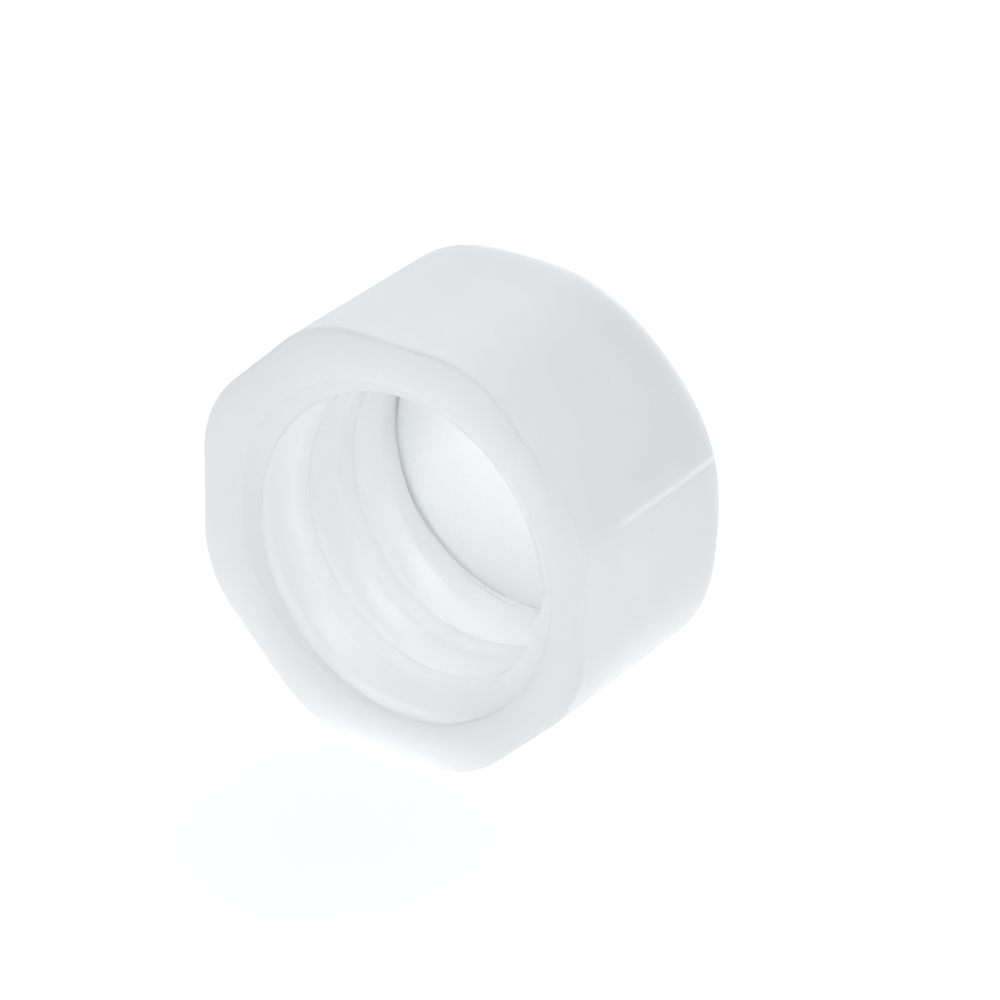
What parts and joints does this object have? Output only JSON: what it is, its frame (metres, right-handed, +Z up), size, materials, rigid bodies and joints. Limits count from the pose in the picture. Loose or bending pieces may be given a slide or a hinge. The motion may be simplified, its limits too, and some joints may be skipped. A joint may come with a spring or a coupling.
{
  "type": "pipe cap",
  "caption": "Octagonal screw cap of translucent moulded plastic, closed at one end, with a coarse right-hand thread inside and a flat sealing disc at the bottom of the bore.",
  "frame": {"origin": "middle of the cap's footprint on the surface it lies on, under the middle of its length", "axes": "the cap lies on one of its flats: +Y runs along the thread axis from the mouth to the closed end, +Z up, X across the flats"},
  "size_m": [0.0158, 0.01, 0.0159],
  "materials": {
    "cap_plastic": "natural translucent moulded plastic, milky white, satin",
    "disc_plastic": "white soft plastic sheet, smooth"
  },
  "bodies": {
    "root": {"cap_body": "cap_plastic", "sealing_disc": "disc_plastic"}
  },
  "joints": []
}
